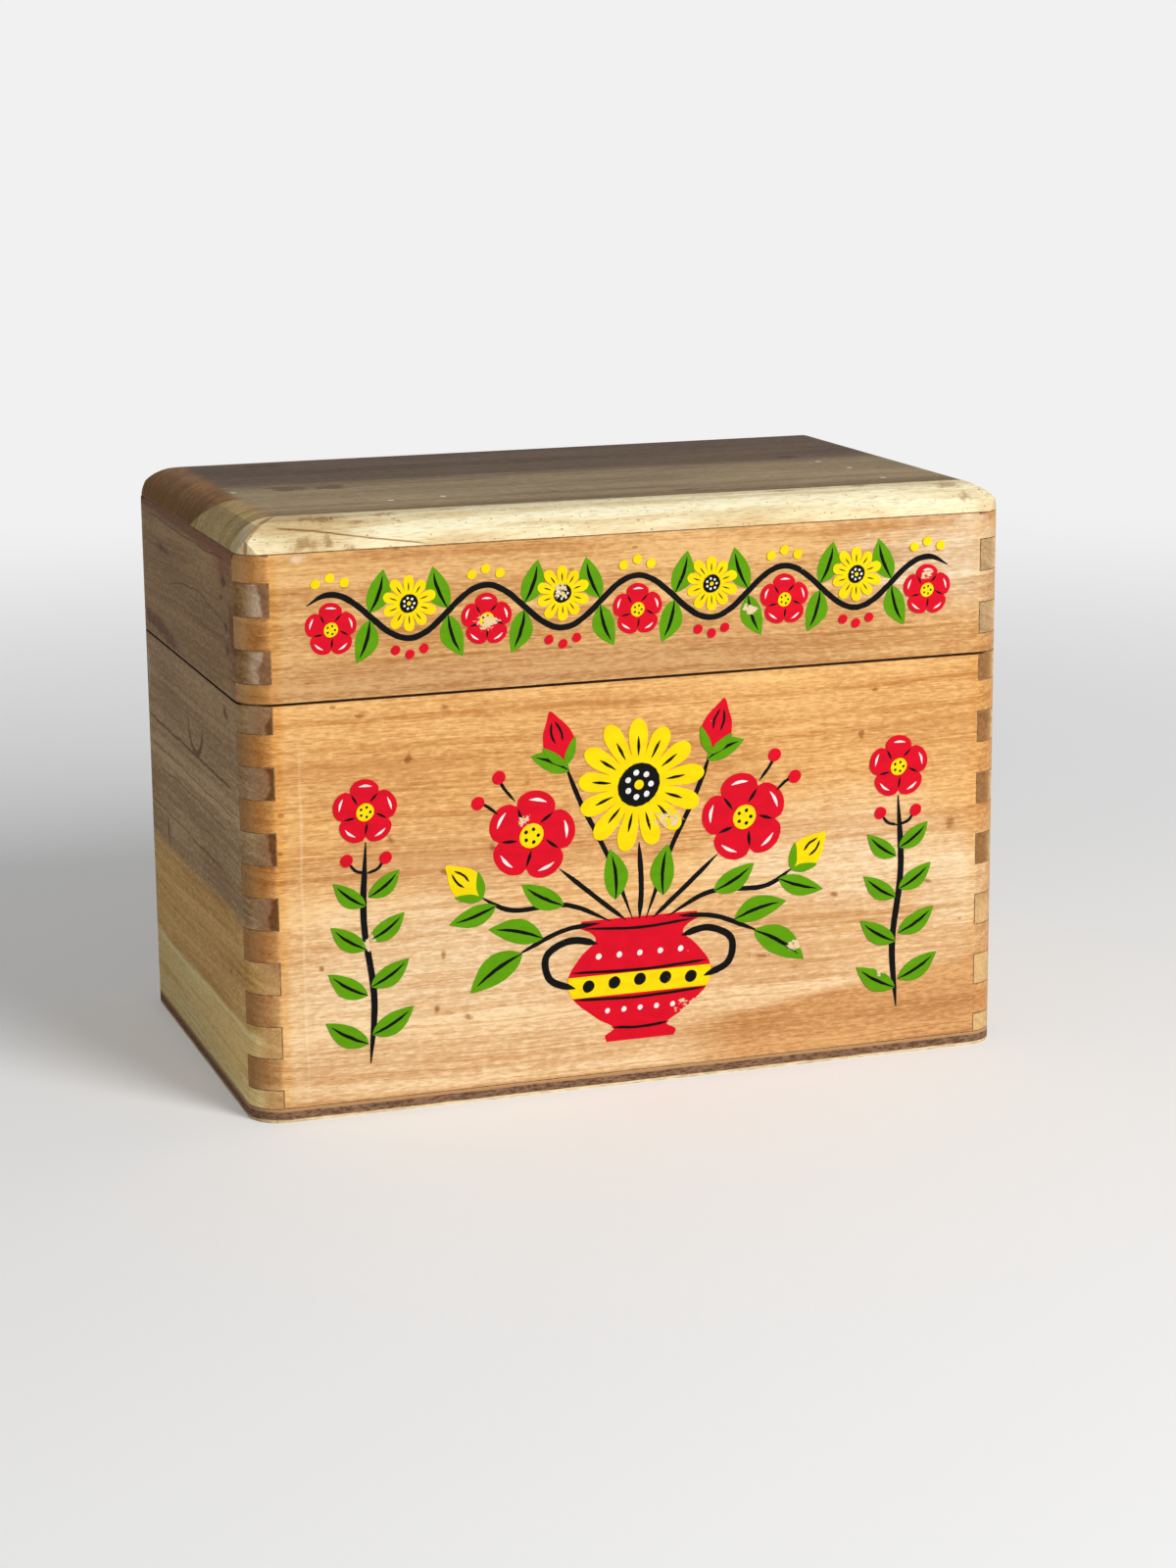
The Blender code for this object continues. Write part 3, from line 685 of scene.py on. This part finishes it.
class Painting:
    """Painted shapes on the front of one body of the box, as x and z in millimetres."""

    BASE = 0.02  # how far each shape reaches into the wood
    COAT = 0.035  # how much prouder each coat is
    STEP = 0.0008  # how much prouder each shape is than the one before it

    def __init__(self, body):
        self.body = body
        self.shapes = {colour: [] for colour in PAINTS}
        self.count = 0

    def fill(self, colour, outline, coat=1):
        """Paints inside an outline. A later coat lies over the earlier ones."""
        self.count += 1
        self.shapes[colour].append((outline, self.COAT * coat + self.STEP * self.count))

    def stroke(self, points, width, coat=2, taper=0.25, colour="black"):
        """Paints along a smooth line, thinner towards both of its ends."""
        line = smooth_line(points)
        left, right = [], []
        triples = zip([line[0], *line[:-1]], line, [*line[1:], line[-1]])
        for number, (before, point, after) in enumerate(triples):
            share = number / (len(line) - 1)
            swell = min(min(share, 1 - share) / taper, 1)
            half = width / 2 * (0.12 + 0.88 * math.sin(swell * math.pi / 2))
            side = turned_left(after - before).normalized() * half
            left.append(point + side)
            right.append(point - side)
        self.fill(colour, left + right[::-1], coat)

    def dot(self, colour, centre, radius, coat=3):
        self.fill(colour, rounded(centre, radius), coat)

    def build(self):
        for colour, shapes in self.shapes.items():
            bm = bmesh.new()
            for outline, proud in shapes:
                add_plate(bm, roughened(outline), proud)
            bmesh.ops.recalc_face_normals(bm, faces=bm.faces)
            painted = mesh_object(bm, f"{self.body}_{colour}_paint", paint_finishes[colour])
            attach(painted, self.body)


def turned_left(direction):
    return Vector((-direction.y, direction.x))


def smooth_line(points, steps=7):
    """A smooth curve through points."""
    points = [Vector(point) for point in points]
    ends = [points[0] * 2 - points[1], *points, points[-1] * 2 - points[-2]]
    return [*smoothed(ends, steps), points[-1]]


def smooth_loop(points, steps=7):
    """A smooth closed curve through points."""
    points = [Vector(point) for point in points]
    return smoothed([points[-1], *points, points[0], points[1]], steps)


def smoothed(path, steps):
    """Points on the smooth curve along a path, from its second point to its last but one."""
    line = []
    for stretch in zip(path, path[1:], path[2:], path[3:]):
        line += [between(*stretch, step / steps) for step in range(steps)]
    return line


def between(before, start, end, after, share):
    """A point between start and end, on the smooth curve that also heeds its neighbours."""
    linear = (end - before) * share
    square = (before * 2 - start * 5 + end * 4 - after) * share**2
    cube = (start * 3 - before - end * 3 + after) * share**3
    return (start * 2 + linear + square + cube) / 2


def roughened(outline):
    """An outline with the slight wobble of a hand-cut stencil."""
    wobble = 0.07
    bumps = 0.9
    shifts = (solid_noise.noise_vector((p.x * bumps, p.y * bumps, 0)) for p in outline)
    return [point + shift.xy * wobble for point, shift in zip(outline, shifts)]


def polar(turn):
    """A step of one in a direction."""
    return Vector((math.cos(turn), math.sin(turn)))


def rounded(centre, radius):
    """A disc's outline, slightly out of round."""
    outline = []
    for number in range(DISC_POINTS):
        turn = math.tau * number / DISC_POINTS
        reach = radius * (1 + 0.06 * math.sin(2 * turn))
        outline.append(Vector(centre) + polar(turn) * reach)
    return outline


def bridge(bm, row, next_row):
    """Adds faces between two closed rows of as many vertices."""
    for number in range(len(row)):
        after = (number + 1) % len(row)
        bm.faces.new((row[number], row[after], next_row[after], next_row[number]))


def add_prism(bm, under, over):
    """Adds a closed solid between two outlines of as many points, in mm."""
    low, high = ([bm.verts.new(point * MM) for point in outline] for outline in (under, over))
    bm.faces.new(high)
    bm.faces.new(low[::-1])
    bridge(bm, low, high)


def add_plate(bm, outline, proud):
    """Adds a thin closed plate on the front, from just under the wood's face to proud of it."""
    levels = (FRONT + Painting.BASE, FRONT - proud)
    add_prism(bm, *([Vector((p.x, level, p.y)) for p in outline] for level in levels))


def new_object(name, data):
    made = bpy.data.objects.new(name, data)
    scene.collection.objects.link(made)
    return made


def mesh_object(bm, name, material):
    """Turns a bmesh into an object with one material."""
    mesh = bpy.data.meshes.new(name)
    bm.to_mesh(mesh)
    bm.free()
    mesh.materials.append(material)
    return new_object(name, mesh)


def aimed(start, tip):
    """A function that turns (share along, offset across) into a point, from start to tip."""
    start, tip = Vector(start), Vector(tip)
    along = tip - start
    across = turned_left(along).normalized()
    return lambda share, offset: start + along * share + across * offset


def leaf(paint, start, tip, width, bend=0):
    """A pointed green leaf with a black midrib, bowed to one side."""
    at = aimed(start, tip)
    shares = [number / 10 for number in range(11)]
    bow = [bend * math.sin(math.pi * share) for share in shares]
    half = [width / 2 * math.sin(math.pi * share**0.85) ** 0.9 for share in shares]
    upper = [at(share, b + h) for share, b, h in zip(shares, bow, half)]
    lower = [at(share, b - h) for share, b, h in zip(shares, bow, half)]
    paint.fill("green", smooth_line(upper, 3) + smooth_line(lower[::-1], 3)[1:-1])
    rib = [at(share, bend * math.sin(math.pi * share) * 0.9) for share in (0, 0.3, 0.6, 0.86)]
    paint.stroke(rib, width * 0.085 + 0.25, taper=0.45)


def drop_shape(at, width, halves):
    """A closed outline to a tip, from pairs of a share along and a half width there."""
    upper = [at(share, width * half) for share, half in halves]
    lower = [at(share, -width * half) for share, half in halves]
    return smooth_loop([*upper, at(1, 0), *lower[::-1]], 4)


# One half of each shape: pairs of a share along and a share of the width
PETAL = ((0, 0.22), (0.35, 0.42), (0.72, 0.5), (0.93, 0.32))
BUD = ((0.05, 0.25), (0.3, 0.48), (0.6, 0.42), (0.85, 0.18))
BUD_VEIN = ((0.42, 0.12), (0.6, 0.15), (0.8, 0.06))
BUD_CUP = ((-0.02, 0), (0.12, 0.36), (0.42, 0.52), (0.2, 0.1))


def daisy(paint, centre, radius, petals):
    """A yellow flower with a dotted black middle."""
    centre = Vector(centre)
    width = math.tau * radius * 0.62 / petals
    for number in range(petals):
        heading = math.pi / 2 + math.tau * number / petals
        outer = radius * (1 + 0.05 * math.cos(3 * heading))
        at = aimed(centre + polar(heading) * (radius * 0.3), centre + polar(heading) * outer)
        paint.fill("yellow", drop_shape(at, width, PETAL))
        line = [centre + polar(heading) * radius * share for share in (0.44, 0.6, 0.74)]
        paint.stroke(line, radius * 0.045, taper=0.5)
    paint.dot("black", centre, radius * 0.33)
    for number in range(7):
        place = centre + polar(math.tau * number / 7) * radius * 0.19
        paint.dot("white", place, radius * 0.045, coat=4)
    paint.dot("yellow", centre, radius * 0.075, coat=4)


def rosette(paint, centre, radius, turn=math.pi / 2):
    """A red flower of five round lobes, with black folds and a yellow middle."""
    centre = Vector(centre)
    outline = []
    for number in range(60):
        heading = math.tau * number / 60
        reach = radius * (0.74 + 0.26 * abs(math.cos(5 * heading / 2)) ** 0.55)
        outline.append(centre + polar(heading + turn) * reach)
    paint.fill("red", outline)
    for number in range(5):
        aim = turn + math.tau * (number + 0.5) / 5
        fold = [
            centre + polar(aim + bend) * radius * share
            for share, bend in ((0.34, 0.16), (0.5, 0.05), (0.68, 0))
        ]
        paint.stroke(fold, radius * 0.075, taper=0.5)
        shine = [centre + polar(aim + bend) * radius * 0.8 for bend in (0.35, 0.6, 0.85)]
        paint.stroke(shine, radius * 0.07, taper=0.5, colour="white")
    paint.dot("yellow", centre, radius * 0.27)
    for number in range(5):
        place = centre + polar(math.tau * number / 5) * radius * 0.15
        paint.dot("black", place, radius * 0.04, coat=4)


def bud(paint, start, tip, width, colour):
    """A closed flower with a green cup."""
    at = aimed(start, tip)
    paint.fill(colour, drop_shape(at, width, BUD))
    for side in (-1, 1):
        paint.stroke([at(share, side * width * off) for share, off in BUD_VEIN], width * 0.07)
        cup = [at(share, side * width * off) for share, off in BUD_CUP]
        paint.fill("green", smooth_loop(cup, 4), 2)


def mirrored(points, side):
    """Points as given on the right, or turned over to the left where side is -1."""
    return [Vector((x * side, z)) for x, z in points]


POT_PROFILE = (
    (6.6, 8.6), (6.9, 9.8), (5.2, 11.2), (8.6, 13.4), (13.2, 17.6), (13.9, 21.6),
    (11.2, 25.6), (8.6, 28), (9.4, 29.6), (11.6, 30.8), (11.2, 32),
)
POT_HANDLE = ((8.2, 27.6), (13.4, 28.6), (18, 26.2), (17.4, 21.6), (12.6, 19.4))


def pot(paint):
    """A red two-handled pot with a dotted yellow band."""
    right = smooth_line(POT_PROFILE, 5)
    paint.fill("red", right + mirrored(right, -1)[::-1])
    low, high = 17.2, 22.4
    band = [point for point in right if low <= point.y <= high]
    paint.fill("yellow", [point * 0.995 for point in band + mirrored(band, -1)[::-1]], 2)
    for x in range(-10, 11, 5):
        paint.dot("black", (x, 19.8 + 0.25 * math.cos(x)), 1.15)
    for x in range(-8, 9, 4):
        paint.dot("white", (x, 25.1), 0.55)
        paint.dot("white", (x * 0.8, 14.6), 0.5)
    for z in (low, high):
        edge = min(right, key=lambda point: abs(point.y - z)).x * 0.97
        paint.stroke([(-edge, z), (0, z - 0.5), (edge, z)], 0.5, coat=3, taper=0.1)
    paint.stroke([(-10.6, 30.6), (0, 29.9), (10.6, 30.6)], 0.5, coat=3, taper=0.2)
    paint.stroke([(-5.6, 11.3), (0, 10.9), (5.6, 11.3)], 0.5, coat=3, taper=0.2)
    for side in (-1, 1):
        paint.stroke(mirrored(POT_HANDLE, side), 1.3, taper=0.1)


BOUQUET_STEMS = (
    ((2.6, 31.5), (8, 36), (15.4, 42.4)),
    ((5.4, 31.5), (14, 35.4), (24.4, 35.4), (30.4, 38.4)),
    ((1.3, 31.5), (5.6, 43), (11, 54), (14.2, 62)),
    ((7.6, 31.4), (15, 30.6), (23.4, 27)),
)
BOUQUET_LEAVES = (
    ((4.6, 35.6), (5.6, 45.2), 4.6, 0.6), ((14.6, 35.4), (22.6, 40), 4.2, -0.5),
    ((18.6, 29.6), (29, 32.2), 4.6, 0.6), ((22.6, 27.2), (32.6, 20.6), 5.4, 0.7),
    ((27.4, 36.6), (36.4, 33.8), 3.8, -0.4), ((13.2, 60.4), (20.6, 63.6), 3.8, 0.5),
)
BOUQUET_BUDS = (
    ((30.2, 38.2), (36.8, 44.8), 6, "yellow"), ((14, 61.6), (16.8, 71.6), 6.2, "red"),
)
BERRY_STALKS = (
    ((23.6, 55.6), (25.8, 58.4), (26.6, 60.2)), ((26.8, 53.4), (29, 55.2), (30.6, 55.8)),
)


def bouquet(paint):
    """Flowers, buds and leaves that fan out of the pot."""
    paint.stroke([(0, 31.5), (0.4, 38), (0, 46)], 1, coat=0.5)
    for side in (-1, 1):
        for stem in BOUQUET_STEMS:
            paint.stroke(mirrored(stem, side), 0.9, coat=0.5)
        for start, tip, width, bend in BOUQUET_LEAVES:
            leaf(paint, *mirrored((start, tip), side), width, bend * side)
        rosette(paint, (20.6 * side, 49), 8.4, turn=math.radians(90 + 10 * side))
        for start, tip, width, colour in BOUQUET_BUDS:
            bud(paint, *mirrored((start, tip), side), width, colour)
        for stalk in BERRY_STALKS:
            paint.stroke(mirrored(stalk, side), 0.55, coat=0.5)
            paint.dot("red", mirrored(stalk, side)[-1], 1.25, coat=2)
    daisy(paint, (0, 56.8), 12.2, 13)


def standing_stem(paint, x, side):
    """A leafy stem with a small flower on top, at one side of the pot."""
    stem = [(x, 9.5), (x - 0.9 * side, 22), (x + 0.7 * side, 36), (x, 50.5)]
    paint.stroke(stem, 1.15, coat=0.5)
    for level, z in enumerate((14, 23, 31.6, 39.6)):
        reach = 8.2 - level * 0.7
        for way in (-1, 1):
            start = (x + way * 0.3, z + way * 0.8)
            tip = (x + way * reach, z + 4.6 + way * 0.8)
            leaf(paint, start, tip, 4 - level * 0.2, -0.5 * way)
    for way in (-1, 1):
        paint.dot("red", (x + way * 3.6, 47.4), 1.15, coat=2)
        stalk = [(x, 44.8), (x + way * 1.9, 45.4), (x + way * 3.2, 46.8)]
        paint.stroke(stalk, 0.5, coat=0.5)
    rosette(paint, (x, 56), 6)


VINE_LEVEL = 91
VINE_HEIGHT = 4.3
VINE_HALF_WAVE = 14.2
VINE_BENDS = 4  # each way from the middle one


def vine_point(x):
    return Vector((x, VINE_LEVEL + VINE_HEIGHT * math.cos(math.pi * x / VINE_HALF_WAVE)))


def vine(paint):
    """A running vine along the lid, with a flower in each bend and leaves between."""
    reach = (VINE_BENDS + 0.3) * VINE_HALF_WAVE
    steps = 40
    line = [vine_point(reach * (2 * step / steps - 1)) for step in range(steps + 1)]
    paint.stroke(line, 1.1, coat=0.5, taper=0.04)
    for number in range(-VINE_BENDS, VINE_BENDS):
        middle = vine_point((number + 0.5) * VINE_HALF_WAVE)
        lean = 1 if number % 2 else -1
        for way in (-1, 1):
            tip = middle + Vector((-lean * way * 2.6, way * 8.2))
            leaf(paint, middle + Vector((0, way * 0.6)), tip, 4.2, 0.6 * way * lean)
    for number in range(-VINE_BENDS, VINE_BENDS + 1):
        bend = vine_point(number * VINE_HALF_WAVE)
        upper = number % 2 == 0
        outward = 1 if upper else -1
        place = bend - Vector((0, outward * 6.2))
        if upper:
            rosette(paint, place, 4.8)
        else:
            daisy(paint, place, 5, 10)
        berry = "yellow" if upper else "red"
        for way in (-1, 0, 1):
            spot = bend + Vector((way * 2.6, outward * (2.9 - 0.9 * abs(way))))
            paint.dot(berry, spot, 0.85, coat=2)


def dress(names, material, width):
    """Gives CAD pieces a material, rounds their real edges a little and shades the rest smooth."""
    bevel = {"limit_method": "ANGLE", "angle_limit": SHARP_ANGLE, "width": width * MM, "segments": 2}
    for node in (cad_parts[name] for name in names):
        mesh = node.data
        mesh.materials.clear()
        mesh.materials.append(material)
        if "custom_normal" in mesh.attributes:
            mesh.attributes.remove(mesh.attributes["custom_normal"])
        mesh.shade_smooth()
        for kind, settings in (
            ("WELD", {"merge_threshold": WELD_REACH * MM}),
            ("DECIMATE", {"decimate_type": "DISSOLVE", "angle_limit": FLAT_ANGLE}),
            ("BEVEL", bevel),
            ("WEIGHTED_NORMAL", {"weight": 100}),
        ):
            set_all(node.modifiers.new(kind.lower(), kind), settings)


def finger_levels(board, along, inner):
    """The heights at which the fingers at the ends of a board begin and end, in mm."""
    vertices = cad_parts[board].data.vertices
    return {round(v.co.z / MM, 3) for v in vertices if abs(v.co[along]) > inner * MM}


def corner_plan(side_x, side_y, inner_x, inner_y):
    """The outline of one corner of the case, a little inside its rounded faces."""
    radius = CORNER_RADIUS - GLUE_DEPTH
    middle = Vector((HALF_WIDTH - CORNER_RADIUS, HALF_DEPTH - CORNER_RADIUS))
    start = math.asin((inner_y - middle.y) / radius)
    end = math.acos((inner_x - middle.x) / radius)
    plan = [Vector((inner_x, inner_y))]
    for number in range(CORNER_STEPS + 1):
        turn = start + (end - start) * number / CORNER_STEPS
        plan.append(middle + polar(turn) * radius)
    return [Vector((point.x * side_x, point.y * side_y)) for point in plan]


def add_slab(bm, plan, low, high):
    """Adds a closed slab over an outline given as x and y, between two heights."""
    add_prism(bm, *([Vector((*point, level)) for point in plan] for level in (low, high)))


def add_joint_glue(bm, long_board, side_board):
    """The glue in the corners' finger joints: flat between fingers, upright at their tips."""
    long_levels = finger_levels(long_board, X_AXIS, INNER_X + 1)
    side_levels = finger_levels(side_board, Y_AXIS, INNER_Y + 1)
    levels = sorted(long_levels | side_levels)
    joins = [pair for pair in zip(levels, levels[1:]) if pair[1] - pair[0] < WIDEST_GLUE]
    gap = joins[0][1] - joins[0][0]
    bounds = [(None, levels[0]), *joins, (levels[-1], None)]
    near = (INNER_X - gap, INNER_Y - gap)
    side_tip = (INNER_X, HALF_DEPTH - 2 * GLUE_DEPTH)
    long_tip = (HALF_WIDTH - 2 * GLUE_DEPTH, INNER_Y)
    for side_x in (-1, 1):
        for side_y in (-1, 1):
            for low, high in joins:
                add_slab(bm, corner_plan(side_x, side_y, *near), low, high)
            for (_, low), (high, _) in zip(bounds, bounds[1:]):
                far = side_tip if low in side_levels else long_tip
                corners = (near, (far[0], near[1]), far, (near[0], far[1]))
                add_slab(bm, [Vector((x * side_x, y * side_y)) for x, y in corners], low, high)


def clamped(points, reach_x, reach_y):
    """Points, with those out of reach moved in to it."""
    return [Vector((max(-reach_x, min(reach_x, x)), max(-reach_y, min(reach_y, y)))) for x, y in points]


def add_ring_glue(bm, low, high, reach_x, reach_y):
    """The glue between a frame of boards and the panel that covers it."""
    outer = []
    for side_x, side_y in ((1, 1), (-1, 1), (-1, -1), (1, -1)):
        corner = corner_plan(side_x, side_y, INNER_X, INNER_Y)[1:]
        outer += corner if side_x == side_y else corner[::-1]
    outer = clamped(outer, reach_x, reach_y)
    inner = clamped(outer, INNER_X, INNER_Y)
    rows = [
        [bm.verts.new(Vector((*point, level)) * MM) for point in loop]
        for loop, level in ((outer, low), (outer, high), (inner, high), (inner, low))
    ]
    for row, next_row in zip(rows, [*rows[1:], rows[0]]):
        bridge(bm, row, next_row)


def make_glue(body, low, high, reach_x, reach_y):
    """All the glue of the body or of the lid, as one piece: its joints, and the ring at its panel."""
    bm = bmesh.new()
    add_joint_glue(bm, f"{body}_front_board", f"{body}_left_board")
    add_ring_glue(bm, low, high, reach_x - GLUE_DEPTH, reach_y - GLUE_DEPTH)
    bmesh.ops.remove_doubles(bm, verts=bm.verts, dist=GLUE_WELD * MM)
    bmesh.ops.recalc_face_normals(bm, faces=bm.faces)
    piece = mesh_object(bm, f"{body}_glue", glue_finish)
    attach(piece, body)


def make_stage():
    bm = bmesh.new()
    bmesh.ops.create_grid(bm, x_segments=1, y_segments=1, size=FLOOR_SIZE / 2)
    floor = mesh_object(bm, "floor", floor_finish())


def floor_finish():
    """Pale and plain near the box, and as bright as the background further off."""
    finish = Finish("floor")
    finish.plug(finish.shader, {
        "Base Color": FLOOR_COLOUR,
        "Roughness": 0.9,
        "Specular IOR Level": 0.1,
        "Emission Color": WHITE,
        "Emission Strength": finish.seen_directly() * FLOOR_LIFT,
    })
    far = finish.place.length().rise(FLOOR_FADE_START / MM, FLOOR_FADE_END / MM)
    near = Field(finish, finish.shader.outputs[0])
    glow = finish.field("Emission", {"Strength": BACKGROUND})
    mixed = finish.field("MixShader", {0: far * finish.seen_directly(), 1: near, 2: glow})
    finish.plug(finish.tree.nodes["Material Output"], {"Surface": mixed})
    return finish.material


def make_sky():
    """A plain dim light from all round, behind which the background looks pale."""
    scene.world = bpy.data.worlds.new("studio")
    scene.world.use_nodes = True
    nodes = Nodes(scene.world.node_tree)
    levels = {"Value": nodes.seen_directly(), "To Min": SKY_LEVEL, "To Max": BACKGROUND}
    strength = nodes.field("MapRange", levels)
    nodes.plug(nodes.tree.nodes["Background"], {"Color": WHITE, "Strength": strength})


def direction(turn, height):
    """A step of one away from the box: turned from its front, and raised."""
    level = math.cos(height)
    return Vector((math.sin(turn) * level, -math.cos(turn) * level, math.sin(height)))


def make_key_light():
    towards = direction(KEY_TURN, KEY_HEIGHT)
    lamp = bpy.data.lights.new("key", "AREA")
    lamp.shape = "DISK"
    lamp.size = KEY_SIZE
    lamp.energy = KEY_LEVEL * (math.pi * KEY_DISTANCE) ** 2
    key = new_object("key", lamp)
    key.location = (cad_box[0] + cad_box[1]) / 2 + towards * KEY_DISTANCE
    key.rotation_euler = towards.to_track_quat("Z", "Y").to_euler()


def make_camera():
    level = direction(CAMERA_TURN, CAMERA_HEIGHT).to_track_quat("Z", "Y").to_matrix()
    lens = bpy.data.cameras.new("camera")
    lens.sensor_width = CAMERA_SENSOR
    lens.lens = CAMERA_LENS
    lens.clip_start = 0.01
    scene.camera = new_object("camera", lens)
    scene.camera.location = CAMERA_PLACE
    scene.camera.rotation_euler = (level @ Matrix.Rotation(CAMERA_ROLL, 3, "Z")).to_euler()


scene.view_settings.view_transform = "Standard"
for leftover in [item for item in scene.objects if item.type in ("CAMERA", "LIGHT")]:
    bpy.data.objects.remove(leftover)

woods = {"front": front_wood, "back": back_wood, "left": left_wood, "right": right_wood}
for side, wood in woods.items():
    dress([f"body_{side}_board", f"lid_{side}_board"], wood(), BOARD_EDGE)
dress(["lid_top_board"], top_wood(), BOARD_EDGE)
dress(["bottom_panel"], plywood(), BOARD_EDGE)
brass_nodes = [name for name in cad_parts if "leaf" in name or "pin" in name]
dress(brass_nodes, aged_brass(), BRASS_EDGE)

glue_finish = glue()
make_glue("body", ply_high.z, body_low.z, HALF_WIDTH, HALF_DEPTH)
make_glue("lid", lid_high.z, top_low.z, top_high.x, top_high.y)

paint_finishes = {
    colour: enamel(f"{colour}_paint", value, wear, seed)
    for seed, (colour, (value, wear)) in enumerate(PAINTS.items())
}
body_paint = Painting("body")
pot(body_paint)
bouquet(body_paint)
for side in (-1, 1):
    standing_stem(body_paint, 51.5 * side, side)
body_paint.build()
lid_paint = Painting("lid")
vine(lid_paint)
lid_paint.build()

make_stage()
make_sky()
make_key_light()
make_camera()
